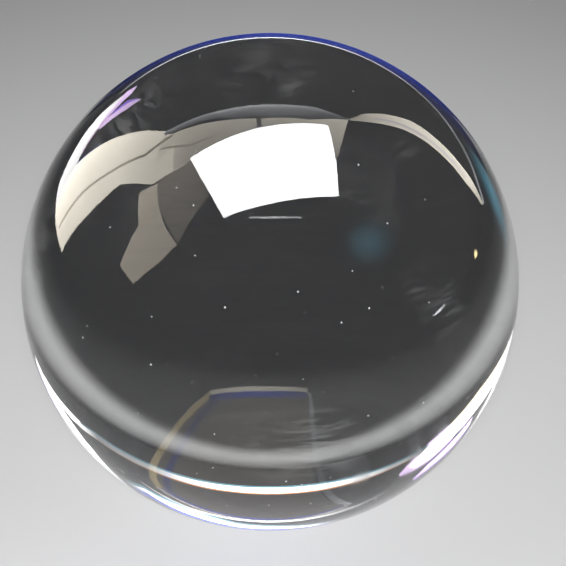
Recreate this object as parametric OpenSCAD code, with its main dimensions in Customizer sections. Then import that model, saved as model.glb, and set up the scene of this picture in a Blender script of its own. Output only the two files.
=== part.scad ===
// Clear crystal ball: one solid sphere of optical glass, ground and polished
// all over. It has no shell, core, seam, flat, hole or base. It stands on a
// level surface on one point, or in a ring or cup stand made for its diameter.
// Millimetres, +Z up. The origin is the point that the ball stands on.

/* [Ball] */
// Diameter of the ball, a trade size
ball_d = 100; // [40:5:200]

/* [Colour] */
// Colour of the glass, as red, green and blue shares
glass_tint = [0.93, 0.96, 0.98]; // [0:0.01:1]
// How solid the glass looks in a preview
glass_opacity = 0.35; // [0.1:0.05:1]

/* [Hidden] */

// The centre is one radius above the point that the ball stands on
ball_r = ball_d / 2;
// Facets of the preview mesh: one for about every 1.5 mm of the equator
ball_fn = round(PI * ball_d / 1.5);

// The whole ball, polished to a true sphere
module ball() {
    color(glass_tint, glass_opacity)
        translate([0, 0, ball_r])
            sphere(r = ball_r, $fn = ball_fn);
}

ball();
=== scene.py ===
"""Clear crystal ball: one solid sphere of polished optical glass on a pale studio floor.

The ball is the only piece. Everything else is stage: the floor, and the light cards that
a clear ball needs, because polished glass shows nothing but what stands round it. A card
is a glowing sheet away from the ball, hidden from the camera itself.

Lengths are in metres unless a comment says radii, and directions are in degrees. Most of the
cards' directions were first found in another program, by tracing rays off and through a
sphere of this glass. They were then rounded, and changed.
"""
import math

import bmesh
import bpy
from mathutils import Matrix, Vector


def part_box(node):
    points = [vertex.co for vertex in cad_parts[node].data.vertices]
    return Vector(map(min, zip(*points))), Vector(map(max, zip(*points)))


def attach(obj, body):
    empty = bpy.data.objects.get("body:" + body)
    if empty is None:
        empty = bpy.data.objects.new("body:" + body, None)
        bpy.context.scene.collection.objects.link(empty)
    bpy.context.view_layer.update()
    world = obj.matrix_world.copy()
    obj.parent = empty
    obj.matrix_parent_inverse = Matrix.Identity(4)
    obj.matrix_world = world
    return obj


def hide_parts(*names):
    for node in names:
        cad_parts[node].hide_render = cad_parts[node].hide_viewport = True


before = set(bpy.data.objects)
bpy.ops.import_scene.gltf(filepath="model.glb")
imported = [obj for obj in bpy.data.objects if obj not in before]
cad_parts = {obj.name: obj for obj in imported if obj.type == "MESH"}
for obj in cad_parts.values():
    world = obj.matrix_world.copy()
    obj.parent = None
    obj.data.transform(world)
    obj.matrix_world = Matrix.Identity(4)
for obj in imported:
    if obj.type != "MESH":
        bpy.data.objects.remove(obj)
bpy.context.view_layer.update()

LOW, HIGH = (Vector(corner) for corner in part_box("ball"))
RADIUS = (HIGH.z - LOW.z) / 2
CENTRE = Vector((0.0, 0.0, LOW.z + RADIUS))

# Glass
GLASS_IOR = 1.52
GLASS_COLOUR = (0.985, 0.992, 0.992, 1.0)
FACES_PER_EDGE = 112

# Dust: how closely the motes lie, where a mote's core ends and where its edge does, how
# rough it is, and how much of the view through the glass it covers
MOTE_SCALE = 260.0
MOTE_CORE = 0.028
MOTE_EDGE = 0.055
MOTE_ROUGHNESS = 0.6
MOTE_COVER = 0.4

# Film: the size of its patches and of the wiped streaks in them, the way that they are
# drawn out and turned, how rough it is and how much of the view it veils
PATCH_SCALE = 34.0
PATCH_RANGE = (0.52, 0.72)
STREAK_SCALE = 160.0
STREAK_RANGE = (0.42, 0.66)
STREAK_STRETCH = (1.0, 1.0, 7.0)
STREAK_TURN = (0.6, 0.3, 0.0)
STREAK_WARP = 0.4
FILM_ROUGHNESS = 0.10
FILM_VEIL = 0.08

# Polish marks: their fineness, their height beside a mote's, and the bump of them all
GRAIN_SCALE = 900.0
GRAIN_HEIGHT = 0.02
BUMP_STRENGTH = 0.02
BUMP_DISTANCE = 0.0001

# Floor
FLOOR_SIZE = 3.0
FLOOR_GREY = 0.70
FLOOR_ROUGHNESS = 0.9

# Camera: how far it looks down, how much of the frame's width the ball takes, and how far
# the ball sits left of and above the frame's middle, as shares of that width
LOOK_DOWN = math.radians(31.0)
LENS_MM = 85.0
SENSOR_MM = 36.0
FRAME_SHARE = 0.88
SHIFT = (0.023, -0.0018)

# Distances of the light cards, in radii of the ball. Cards hide the ones behind them, so
# details stand a little nearer than the card that they lie on
FAR = 40.0
NEARER = 36.0
BEYOND = 200.0
BEFORE_BEYOND = 196.0
CLOSE = 7.5
JUST_OVER_FLOOR = -0.985

# The key light: its distance in radii; its height, its width and height of face and its
# spread, in degrees; and its power in watts
KEY_FAR = 18.0
KEY_UP = 32.0
KEY_WIDE = 18.0
KEY_HIGH = 14.0
KEY_SPREAD = 46.0
KEY_WATTS = 1.0

# Rectangles on the ceiling: place, width, depth and turn
SKYLIGHT = (-0.0125, -0.139, 0.98, 0.667, 15)
FILL = (0.0, 0.0, 1.6, 1.6, 0)

# The ceiling's front edge: its bright share, and the glow left at that share's end and at
# the ceiling's own end
EDGE_SHARE = 0.3
EDGE_GLOW = 0.45
INNER_GLOW = 0.12

# A round card: its corners, and each ring's reach and glow beside the card's own
SPOT_CORNERS = 12
SPOT_RINGS = ((0.45, 0.62), (0.75, 0.2), (1.0, 0.0))

SURROUNDINGS = (0.020, 0.020, 0.022, 1.0)

# Colours of the light
DAYLIGHT = (0.97, 0.985, 1.0)
CREAM = (1.0, 0.93, 0.79)
STONE = (1.0, 0.89, 0.73)
MIST = (0.93, 0.95, 1.0)
WHITE = (1.0, 1.0, 1.0)
LILAC = (0.86, 0.62, 1.0)
DUSK = (0.94, 0.88, 1.0)
VIOLET = (0.36, 0.20, 1.0)
PLUM = (0.80, 0.45, 0.75)
CYAN = (0.35, 0.80, 1.0)
EMBER = (1.0, 0.45, 0.20)
BLUE = (0.05, 0.12, 1.0)
TEAL = (0.12, 0.52, 0.72)
AMBER = (1.0, 0.80, 0.40)


def link(obj):
    """Puts an object in the scene and returns it."""
    bpy.context.scene.collection.objects.link(obj)
    return obj


# ---------------------------------------------------------------- the ball


def ball_mesh():
    """A true sphere of near-even quads, with no poles: a cube's grid blown out to the radius."""
    bm = bmesh.new()
    bmesh.ops.create_cube(bm, size=2)
    bmesh.ops.subdivide_edges(bm, edges=bm.edges[:], cuts=FACES_PER_EDGE - 1, use_grid_fill=True)
    for vert in bm.verts:
        even = Vector([math.tan(c * math.pi / 4) for c in vert.co])
        vert.co = CENTRE + even.normalized() * RADIUS
    for face in bm.faces:
        face.smooth = True
    mesh = bpy.data.meshes.new("ball_glass")
    bm.to_mesh(mesh)
    bm.free()
    return mesh


class Nodes:
    """Short calls for building one material's nodes."""

    def __init__(self, material):
        material.use_nodes = True
        self.tree = material.node_tree
        self.tree.nodes.clear()

    def add(self, kind, inputs=None, **settings):
        node = self.tree.nodes.new("ShaderNode" + kind)
        for name, value in settings.items():
            setattr(node, name, value)
        for name, value in (inputs or {}).items():
            if isinstance(value, bpy.types.NodeSocket):
                self.tree.links.new(value, node.inputs[name])
            else:
                node.inputs[name].default_value = value
        return node

    def noise(self, place, scale, detail=2.0, distortion=0.0):
        inputs = {"Vector": place, "Scale": scale, "Detail": detail, "Distortion": distortion}
        return self.add("TexNoise", inputs).outputs["Fac"]

    def ramp(self, value, start, end, low=0.0, high=1.0):
        """Turns start..end of a value smoothly into low..high."""
        inputs = {"Value": value, "From Min": start, "From Max": end, "To Min": low, "To Max": high}
        node = self.add("MapRange", inputs, interpolation_type="SMOOTHSTEP")
        return node.outputs["Result"]

    def math(self, operation, a, b):
        node = self.add("Math", {0: a, 1: b}, operation=operation)
        return node.outputs["Value"]


def glass_material():
    """Polished optical glass, with the dust, fingermarks and wiped film of a ball that is handled."""
    material = bpy.data.materials.new("polished_glass")
    n = Nodes(material)
    place = n.add("TexCoord").outputs["Object"]

    # Dust: tiny motes, where the surface passes close to a point of a fine cell pattern
    near = n.add("TexVoronoi", {"Vector": place, "Scale": MOTE_SCALE}, feature="F1").outputs["Distance"]
    motes = n.ramp(near, MOTE_CORE, MOTE_EDGE, 1.0, 0.0)

    # Film: soft patches left by hands, streaked the way a cloth was wiped over them
    drawn_out = {"Vector": place, "Scale": STREAK_STRETCH, "Rotation": STREAK_TURN}
    stretch = n.add("Mapping", drawn_out).outputs["Vector"]
    patches = n.ramp(n.noise(place, PATCH_SCALE, 3.0), *PATCH_RANGE)
    streaks = n.ramp(n.noise(stretch, STREAK_SCALE, 4.0, STREAK_WARP), *STREAK_RANGE)
    film = n.math("MULTIPLY", patches, streaks)

    film_roughness = n.math("MULTIPLY", film, FILM_ROUGHNESS)
    mote_roughness = n.math("MULTIPLY", motes, MOTE_ROUGHNESS)
    roughness = n.math("MAXIMUM", film_roughness, mote_roughness)
    veil = n.math("MULTIPLY", film, FILM_VEIL)
    cover = n.math("MAXIMUM", veil, n.math("MULTIPLY", motes, MOTE_COVER))
    clear = n.math("SUBTRACT", 1.0, cover)

    grain = n.noise(place, GRAIN_SCALE, 1.0)
    height = n.math("ADD", motes, n.math("MULTIPLY", grain, GRAIN_HEIGHT))
    bumps = {"Height": height, "Strength": BUMP_STRENGTH, "Distance": BUMP_DISTANCE}
    bump = n.add("Bump", bumps)

    glass = n.add("BsdfPrincipled", {
        "Base Color": GLASS_COLOUR,
        "IOR": GLASS_IOR,
        "Roughness": roughness,
        "Transmission Weight": clear,
        "Normal": bump.outputs["Normal"],
    })
    n.add("OutputMaterial", {"Surface": glass.outputs["BSDF"]})
    return material


ball = link(bpy.data.objects.new("ball_glass", ball_mesh()))
ball.data.materials.append(glass_material())
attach(ball, "root")
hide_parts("ball")


# ---------------------------------------------------------------- the floor


def floor_object():
    s = FLOOR_SIZE
    mesh = bpy.data.meshes.new("floor")
    corners = [(-s, -s, LOW.z), (s, -s, LOW.z), (s, s, LOW.z), (-s, s, LOW.z)]
    mesh.from_pydata(corners, [], [(0, 1, 2, 3)])
    material = bpy.data.materials.new("pale_floor")
    n = Nodes(material)
    paint = n.add("BsdfPrincipled", {
        "Base Color": (FLOOR_GREY, FLOOR_GREY, FLOOR_GREY, 1.0),
        "Roughness": FLOOR_ROUGHNESS,
        "Specular IOR Level": 0.0,
    })
    n.add("OutputMaterial", {"Surface": paint.outputs["BSDF"]})
    mesh.materials.append(material)
    return link(bpy.data.objects.new("floor", mesh))


floor_object()


# ---------------------------------------------------------------- light cards


def sky(azimuth, elevation):
    """A direction from the ball: azimuth 0 is +Y, away from the camera, and + is to the right."""
    a = math.radians(azimuth)
    e = math.radians(elevation)
    return Vector((math.sin(a) * math.cos(e), math.cos(a) * math.cos(e), math.sin(e)))


def overhead(x, y):
    """A direction towards a point of a level ceiling one unit above the ball's centre."""
    return Vector((x, y, 1.0)).normalized()


def floor_spot(x, y):
    """A point just above the floor, in radii from the ball's centre; its card's far is 1."""
    return Vector((x, y, JUST_OVER_FLOOR))


def glowing(name, rays, tint, directions, faces, glow, far):
    """A card of glowing faces, seen only by the kinds of ray in rays: d lights the floor,
    g is mirrored in the glass, t is seen through the glass."""
    mesh = bpy.data.meshes.new(name)
    mesh.from_pydata([tuple(CENTRE + d * far * RADIUS) for d in directions], [], faces)
    mesh.attributes.new("glow", "FLOAT", "POINT").data.foreach_set("value", glow)
    material = bpy.data.materials.new(name)
    n = Nodes(material)
    strength = n.add("Attribute", attribute_name="glow").outputs["Fac"]
    light = n.add("Emission", {"Color": (*tint, 1.0), "Strength": strength})
    n.add("OutputMaterial", {"Surface": light.outputs["Emission"]})
    if "d" not in rays:
        material.cycles.emission_sampling = "NONE"
    mesh.materials.append(material)
    obj = link(bpy.data.objects.new(name, mesh))
    obj.visible_camera = False
    obj.visible_shadow = False
    obj.visible_diffuse = "d" in rays
    obj.visible_glossy = "g" in rays
    obj.visible_transmission = "t" in rays
    return obj


def card(name, rays, tint, pairs, far=FAR):
    """A glowing ribbon. Each pair is (direction of one edge, of the other edge, strength),
    and a strength may be two numbers, one for each edge."""
    directions, faces, glow = [], [], []
    for k, (a, b, strength) in enumerate(pairs):
        directions += [a, b]
        glow += strength if isinstance(strength, tuple) else (strength, strength)
        if k:
            faces.append((2 * k - 2, 2 * k - 1, 2 * k + 1, 2 * k))
    return glowing(name, rays, tint, directions, faces, glow, far)


def ribbon(rows):
    """Pairs from rows of (azimuth, elevation, azimuth, elevation, strength)."""
    return [(sky(a, b), sky(c, d), strength) for a, b, c, d, strength in rows]


def on_ceiling(rows):
    """Pairs from rows of (x, y, x, y, strength) on the ceiling."""
    return [(overhead(a, b), overhead(c, d), strength) for a, b, c, d, strength in rows]


def ceiling_rectangle(x, y, width, depth, turn, strength):
    """The two edge pairs of a rectangle on the ceiling, turned about its own centre."""
    c = math.cos(math.radians(turn))
    s = math.sin(math.radians(turn))

    def corner(i, j):
        u = i * width / 2
        v = j * depth / 2
        return overhead(x + c * u - s * v, y + s * u + c * v)

    return [(corner(-1, -1), corner(-1, 1), strength), (corner(1, -1), corner(1, 1), strength)]


def fringe(name, tint, pairs, side, width, strengths, rays="t", far=FAR):
    """A thin tinted line along one edge of a ribbon. It stands in for the colours that real
    glass parts, which this glass doesn't. Side 0 is the first edge of each pair and 1 the
    second; width is in degrees."""
    reach = math.tan(math.radians(width))
    lines = []
    for (a, b, _), strength in zip(pairs, strengths):
        edge, other = (a, b) if side == 0 else (b, a)
        lines.append((edge, edge + (edge - other).normalized() * reach, strength))
    return card(name, rays, tint, lines, far)


def spot(name, rays, tint, azimuth, elevation, reach, strength, far=FAR):
    """A round card whose glow fades out at its edge; reach is its radius in degrees."""
    middle = sky(azimuth, elevation)
    side = middle.cross(Vector((0, 0, 1))).normalized()
    rise = side.cross(middle)
    rim = math.tan(math.radians(reach))
    verts = [middle]
    glow = [strength]
    for share, level in SPOT_RINGS:
        for k in range(SPOT_CORNERS):
            turn = 2 * math.pi * k / SPOT_CORNERS
            verts.append(middle + (side * math.cos(turn) + rise * math.sin(turn)) * rim * share)
            glow.append(strength * level)
    faces = [(0, 1 + k, 1 + (k + 1) % SPOT_CORNERS) for k in range(SPOT_CORNERS)]
    for ring in range(len(SPOT_RINGS) - 1):
        inner = 1 + ring * SPOT_CORNERS
        outer = inner + SPOT_CORNERS
        for k in range(SPOT_CORNERS):
            m = (k + 1) % SPOT_CORNERS
            faces.append((inner + k, outer + k, outer + m, inner + m))
    return glowing(name, rays, tint, verts, faces, glow, far)


# Soft light for the floor: a front soft box, whose shadow lies behind the ball, and a fill
soft_box = bpy.data.lights.new("key_softbox", "AREA")
soft_box.shape = "RECTANGLE"
soft_box.size = KEY_FAR * RADIUS * math.radians(KEY_WIDE)
soft_box.size_y = KEY_FAR * RADIUS * math.radians(KEY_HIGH)
soft_box.spread = math.radians(KEY_SPREAD)
soft_box.energy = KEY_WATTS
key = link(bpy.data.objects.new("key_softbox", soft_box))
key.location = CENTRE + sky(180, KEY_UP) * KEY_FAR * RADIUS
key.rotation_euler = (CENTRE - key.location).to_track_quat("-Z", "Y").to_euler()
key.visible_camera = False
key.visible_glossy = False
key.visible_transmission = False
card("fill_softbox", "d", WHITE, ceiling_rectangle(*FILL, 0.08))

# The skylight window, faint where it is seen through the ball and bright where it is mirrored
card("soft_focus", "t", WHITE, ceiling_rectangle(*SKYLIGHT, 0.8))
card("skylight", "g", DAYLIGHT, ceiling_rectangle(*SKYLIGHT, 26.0), NEARER)

# Mirrored in the front of the ball: the ceiling and the walls
card("ceiling_cream", "g", CREAM, on_ceiling([
    (-0.95, 0.00, -1.25, 0.52, (6.0, 7.5)), (-0.56, 0.03, -0.60, 0.40, (3.2, 5.0)),
    (-0.40, -0.02, -0.30, 0.33, (2.8, 4.4)), (0.00, -0.02, -0.05, 0.29, (2.8, 4.4)),
    (0.45, -0.10, 0.25, 0.32, (2.0, 4.8)), (0.47, 0.02, 0.53, 0.47, (3.2, 6.0)),
]))
arch = ribbon([
    (-68, 26, -68, 29, 2.4), (-62, 42, -61, 48, 3.0), (-52, 51.5, -53, 56, 3.8),
    (-42, 57.5, -44, 62, 4.4), (-31.5, 62, -36, 68, 4.8), (-14, 65, -16, 72, 5.2),
    (4, 65.5, 4, 74, 5.0), (18, 64, 21, 72, 4.4), (31, 60.5, 37, 68, 3.6), (48, 54.5, 49, 55, 2.4),
])
card("ceiling_front_edge", "g", MIST, [
    (a, a.lerp(b, EDGE_SHARE), (s, s * EDGE_GLOW)) for a, b, s in arch
])
card("ceiling_front", "g", MIST, [
    (a.lerp(b, EDGE_SHARE), b, (s * EDGE_GLOW, s * INNER_GLOW)) for a, b, s in arch
])
card("ceiling_cable", "g", STONE, on_ceiling([
    (-0.36, 0.20, -0.36, 0.183, 2.4), (-0.56, 0.19, -0.56, 0.173, 2.2),
    (-0.84, 0.34, -0.85, 0.32, 2.8),
]), NEARER)
card("ceiling_fitting", "g", STONE, on_ceiling([
    (-0.082, 0.205, -0.085, 0.305, 0.7), (-0.052, 0.205, -0.055, 0.305, 0.7),
]), NEARER)
wall_left = ribbon([
    (-65, -3, -72, -2, 7.5), (-54, -2.9, -74, 8, 8.5), (-48, 6.6, -76, 16, 9.5),
    (-49, 17.5, -77, 23.5, 9.5), (-51, 28, -77, 31, 9.5), (-53, 37, -82, 37, 8.5),
    (-57, 48, -90, 44, 7.5), (-60, 52, -89, 58, 7.0),
])
card("wall_left", "g", CREAM, wall_left)
fringe("wall_left_blue", BLUE, wall_left[:4], 0, 0.9, (1.2, 1.5, 1.5, 0.8), "g")
card("wall_corner_line", "g", STONE, ribbon([
    (-59, 51, -62, 51, 2.5), (-68, 42, -70, 42, 2.0), (-67.5, 36, -69, 36, 3.6),
    (-66.5, 26, -67.8, 26, 4.0), (-64, 14, -65.2, 14, 4.0), (-63, 0, -64.2, 0, 4.5),
]), NEARER)
card("wall_column", "g", STONE, ribbon([
    (-89, 38, -91, 46, 5.0), (-103, 32, -103, 43, 4.5), (-106, 16, -108, 41.5, 4.2),
    (-116, 14, -117, 39, 4.0), (-124, 27, -126, 37, 3.6), (-127, 35, -128, 36.5, 3.4),
]))
card("wall_recess", "g", STONE, ribbon([
    (-91, 46, -87, 61, 1.9), (-106, 42, -100, 61.5, 1.6), (-128, 37, -125, 60, 1.1),
]))
card("wall_right", "g", CREAM, ribbon([
    (48, 54.0, 49, 54.4, 3.0), (44.6, 46, 50.3, 48.5, 4.2), (44, 38.5, 50.6, 41.5, 5.5),
    (44, 26, 50.8, 32.6, 6.5), (46.6, 18, 52, 24.1, 7.0), (49, 10.8, 54, 16.4, 7.0),
    (50.6, 4.4, 55.6, 8.4, 6.5), (53.6, -1.0, 55, 0.4, 3.0),
]))
card("wall_right_fold", "g", DUSK, ribbon([
    (47.2, 44, 48.2, 44, 3.6), (47.5, 34, 48.7, 34, 4.2), (49.0, 24, 50.2, 24, 4.4),
    (51.2, 15, 52.2, 15, 4.4), (53, 8, 53.9, 8, 4.6),
]), NEARER)

# Mirrored near the rim: a table edge behind the ball, and a sunlit opening with a split end
card("table_edge_mirror", "g", MIST, ribbon([
    (-24, 2.0, -24, 3.4, 0.6), (-12, 1.8, -12, 3.3, 2.6), (0, 1.6, 0, 3.3, 4.2),
    (14, 1.4, 14, 2.9, 2.6), (25, 1.3, 25, 2.8, 1.0), (35, 1.8, 35, 3.1, 0.9), (41, 1.0, 41, 2.4, 1.0),
    (48, 0.1, 48, 1.4, 1.6), (53, -1.9, 53, -0.5, 2.5),
]))
card("opening_upper_mirror", "g", WHITE, ribbon([
    (-26, 8.0, -27, 11.2, 3.5), (-30, 3.4, -32, 11.6, 5.0), (-35, 1.8, -37, 10.0, 6.0),
    (-40, 0.6, -42, 8.2, 6.0), (-44, -0.6, -48, 7.2, 6.0), (-47, -2.2, -55, 6, 6.5),
    (-51, -2.9, -60, 3, 7.0),
]))
card("opening_upper_tip", "g", LILAC, ribbon([
    (-24.4, 9.3, -24.8, 10.0, 3.5), (-25.5, 7.0, -28, 12.2, 4.5), (-31, 9.5, -34, 12.0, 4.5),
    (-36, 9.3, -39, 10.0, 4.5),
]), NEARER)
card("opening_upper_trim", "g", PLUM, ribbon([
    (-35.6, 11.2, -36.0, 11.8, 3.5), (-41, 8.8, -41.3, 9.5, 3.5), (-45.4, 7.8, -45.6, 8.5, 3.0),
]), NEARER)
card("opening_lower_mirror", "g", LILAC, ribbon([
    (-33.0, 21.6, -33.5, 22.1, 4.0), (-32.4, 16.5, -36.5, 19.6, 4.5), (-34.8, 12.6, -38.2, 15.0, 5.5),
    (-38, 10.4, -39.8, 11.4, 5.5),
]))
card("opening_lower_trim", "g", VIOLET, ribbon([
    (-32.2, 19.5, -32.8, 20.5, 3.0), (-31.6, 15.0, -33.2, 16.4, 3.4), (-34.2, 12.0, -35.6, 13.0, 3.4),
]), NEARER)
card("blue_cloth_standing", "g", BLUE, ribbon([
    (-26, -7.0, -26, 7.0, 0.0), (-14, -7.0, -14, 7.6, 0.2), (0, -7.0, 0, 7.8, 0.55),
    (14, -7.0, 14, 7.6, 0.45), (26, -7.0, 26, 7.0, 0.15), (38, -7.0, 38, 6.0, 0.0),
]), CLOSE)
card("blue_cloth_lying", "g", BLUE, [
    (floor_spot(x, near), floor_spot(x * 2.4, 7.4), strength)
    for x, near, strength in (
        (-1.0, 2.6, 0.0), (-0.5, 2.3, 0.15), (0.0, 2.2, 0.4), (0.6, 2.3, 0.35), (1.3, 2.6, 0.0))
], 1.0)
card("sill_mirror", "g", MIST, ribbon([
    (196, 57.2, 196, 58.0, 7.0), (186, 57.8, 186, 58.6, 8.0), (176, 58.0, 176, 58.8, 9.0),
    (166, 57.4, 166, 58.2, 8.0), (156, 56.2, 156, 57.0, 6.0),
]))

# Seen through the ball: the same table edge and openings, bent round to its lower rim
table_edge = ribbon([
    (-34, 6.8, -34, 7.8, 0.25), (-22, 6.2, -22, 7.7, 0.5), (-12, 5.6, -12, 7.7, 1.6),
    (-6, 5.3, -6, 7.6, 3.0), (0, 5.2, 0, 7.5, 4.0), (6, 5.4, 6, 7.6, 3.0), (12, 5.7, 12, 7.9, 1.6),
    (22, 6.0, 22, 8.0, 0.45), (36, 6.2, 36, 8.4, 0.3), (43, 7.4, 43, 9.6, 2.0),
])
card("table_edge", "t", WHITE, table_edge)
fringe("table_edge_cool", CYAN, table_edge, 0, 0.7, (0.2, 0.3, 0.5, 0.6, 0.6, 0.6, 0.5, 0.35, 0.3, 0.2))
fringe("table_edge_warm", EMBER, table_edge, 1, 0.6, (0.1, 0.2, 0.8, 1.0, 1.0, 1.0, 0.8, 0.2, 0.1, 0.1))

opening = ribbon([
    (-28, 11.0, -31.0, 14.2, 3.0), (-31.5, 6.2, -35.8, 14.0, 4.0), (-39, 3.4, -42, 11.5, 5.0),
    (-46.4, 1.2, -49.5, 9.4, 5.0), (-57, 0.9, -60, 8, 5.0), (-72.6, 1.1, -72.5, 6, 4.0),
])
card("opening_finger_1", "t", WHITE, opening, NEARER)
fringe("opening_warm", AMBER, opening, 0, 0.7, (0.3, 0.5, 0.8, 0.8, 0.6, 0.3))
card("opening_tip_1", "t", LILAC, ribbon([
    (-26.4, 13.2, -27.0, 14.6, 1.2), (-27.2, 10.2, -30.6, 15.8, 1.5), (-31.0, 5.0, -36.4, 16.0, 1.8),
    (-38, 3.4, -42.4, 13.0, 2.0),
]))
finger = ribbon([
    (-35.3, 23.6, -36.1, 24.8, 2.0), (-37.0, 18.5, -40, 23.4, 3.2), (-43, 14.8, -47.5, 20.5, 4.0),
    (-50.0, 11.6, -51.5, 16, 5.0),
])
card("opening_finger_2", "t", LILAC, finger)
fringe("opening_violet", VIOLET, finger, 1, 2.2, (1.2, 1.6, 1.8, 1.0))
fringe("opening_purple", VIOLET, finger, 0, 0.8, (0.8, 1.0, 1.0, 0.4))
outer_finger = ribbon([
    (-54.5, 24, -56, 27, 1.5), (-57, 15.5, -59, 25, 4.0), (-60, 8, -65, 19, 5.0), (-70, 5, -72, 10, 4.0),
])
card("opening_finger_3", "t", WHITE, outer_finger)
fringe("opening_blue", BLUE, outer_finger, 1, 3.0, (1.2, 1.8, 1.8, 1.2))

right_gap = ribbon([
    (64, 3.4, 65, 6.5, 4.0), (56, 6.5, 61, 14, 5.0), (51.2, 9.2, 59, 22, 5.0), (47.2, 13.4, 57, 30, 5.0),
    (43.6, 19, 54, 34, 4.5), (42.6, 28, 47, 36, 3.5), (42, 38, 43, 42, 2.0),
])
card("right_gap_low", "t", WHITE, right_gap)
fringe("right_gap_violet", VIOLET, right_gap, 1, 3.0, (1.4, 1.8, 1.8, 1.8, 1.8, 1.8, 1.4))
card("right_gap_inner", "t", WHITE, ribbon([
    (58, 5.2, 57, 7.6, 3.5), (52, 6.0, 51, 8.6, 4.5), (46, 6.4, 46, 9.6, 4.0), (40, 6.4, 40.5, 8.6, 2.0),
]))
beam = ribbon([
    (38, 28, 38, 29, 0.6), (30, 23.6, 31, 27.2, 2.5), (26.5, 25.6, 28, 31, 4.5), (22, 26.2, 25, 33.8, 5.5),
    (17, 28.2, 20, 36, 6.5), (8, 34, 9, 41, 7.0), (-3, 35.4, -4, 41.2, 7.0), (-12, 38.5, -13, 42.6, 5.0),
    (-20, 41, -20, 42.6, 1.5),
])
card("beam", "t", DAYLIGHT, beam)
fringe("beam_blue", BLUE, beam, 1, 6.5, (0.5, 1.2, 2.0, 3.0, 3.5, 3.8, 3.8, 3.0, 1.0))
fringe("beam_cyan", CYAN, beam, 0, 2.5, (0.2, 0.6, 1.0, 1.3, 1.4, 1.2, 1.0, 0.8, 0.3))
card("shelf", "t", WHITE, ribbon([
    (28.5, 18.0, 28.5, 19.0, 0.5), (24, 21.5, 24, 23.0, 1.3), (18, 24.5, 18, 26.5, 2.0),
    (10, 26.2, 10, 28.2, 2.6), (2, 27.0, 2, 28.8, 2.8), (-8, 26.8, -8, 28.6, 2.6),
    (-15, 25.6, -15, 27.4, 1.8), (-22, 23.5, -22, 24.9, 0.8), (-27, 21, -27, 22, 0.2),
]))

# Seen after one bounce inside the back of the ball: a sill, the dim opening above it, a lens
sill = ribbon([
    (163.2, 49.6, 163.2, 50.3, 3.0), (168, 49.8, 168, 50.6, 4.0), (173, 50.0, 173, 50.8, 4.5),
    (179, 50.2, 179, 51.0, 4.5), (185, 50.2, 185, 50.9, 4.0), (190.5, 50.0, 190.5, 50.7, 3.0),
])
card("sill", "t", CREAM, sill, BEYOND)
fringe("sill_blue", BLUE, sill, 1, 1.0, (0.8, 1.6, 2.2, 2.2, 1.6, 0.8), far=BEFORE_BEYOND)
jamb = ribbon([
    (163.6, 49.7, 164.4, 50.8, 1.8), (159.4, 50.8, 160.4, 52.4, 2.2), (155.6, 52.0, 156.9, 53.9, 2.4),
    (152.2, 53.2, 153.9, 55.4, 2.4), (148.6, 54.6, 150.6, 56.8, 1.6),
])
card("jamb_left", "t", AMBER, jamb, BEYOND)
fringe("jamb_blue", BLUE, jamb, 1, 0.9, (0.4, 0.7, 0.8, 0.7, 0.4), far=BEFORE_BEYOND)
card("jamb_right", "t", MIST, ribbon([
    (190.2, 50.6, 191.6, 50.6, 1.8), (191.2, 53, 192.6, 53, 1.6), (192.0, 56, 193.6, 56, 0.9),
    (193.0, 59, 194.8, 59, 0.5),
]), BEYOND)
card("dim_opening", "t", STONE, ribbon([
    (153, 54.0, 153, 64, 0.4), (158, 52.2, 158, 64, 0.5), (164, 50.6, 164, 64, 0.55),
    (170, 51.0, 170, 64, 0.55), (176, 51.2, 176, 64, 0.55), (184, 51.2, 184, 64, 0.55),
    (191, 51.0, 193, 64, 0.45),
]), BEYOND)
spot("lens_glow", "t", TEAL, -160, 22, 5.0, 2.1)

# Small glints mirrored on the right
spot("glint_lamp", "g", AMBER, 74.2, -0.9, 1.9, 22.0)
card("glint_tick", "g", MIST, ribbon([
    (111, -1.0, 111, -0.4, 4.0), (108.4, -1.3, 108.4, -0.2, 14.0), (104, -0.6, 104, 0.3, 5.0),
]), CLOSE)


# ---------------------------------------------------------------- surroundings and camera

world = bpy.data.worlds.new("studio")
world.use_nodes = True
world.node_tree.nodes["Background"].inputs["Color"].default_value = SURROUNDINGS
bpy.context.scene.world = world

camera_data = bpy.data.cameras.new("camera")
camera_data.lens = LENS_MM
camera_data.sensor_width = SENSOR_MM
camera_data.shift_x, camera_data.shift_y = SHIFT
camera = link(bpy.data.objects.new("camera", camera_data))
half_ball_angle = math.atan(FRAME_SHARE * SENSOR_MM / 2 / LENS_MM)
away = Vector((0.0, -math.cos(LOOK_DOWN), math.sin(LOOK_DOWN)))
camera.location = CENTRE + away * (RADIUS / math.sin(half_ball_angle))
camera.rotation_euler = (CENTRE - camera.location).to_track_quat("-Z", "Y").to_euler()
bpy.context.scene.camera = camera
bpy.context.scene.view_settings.view_transform = "Standard"
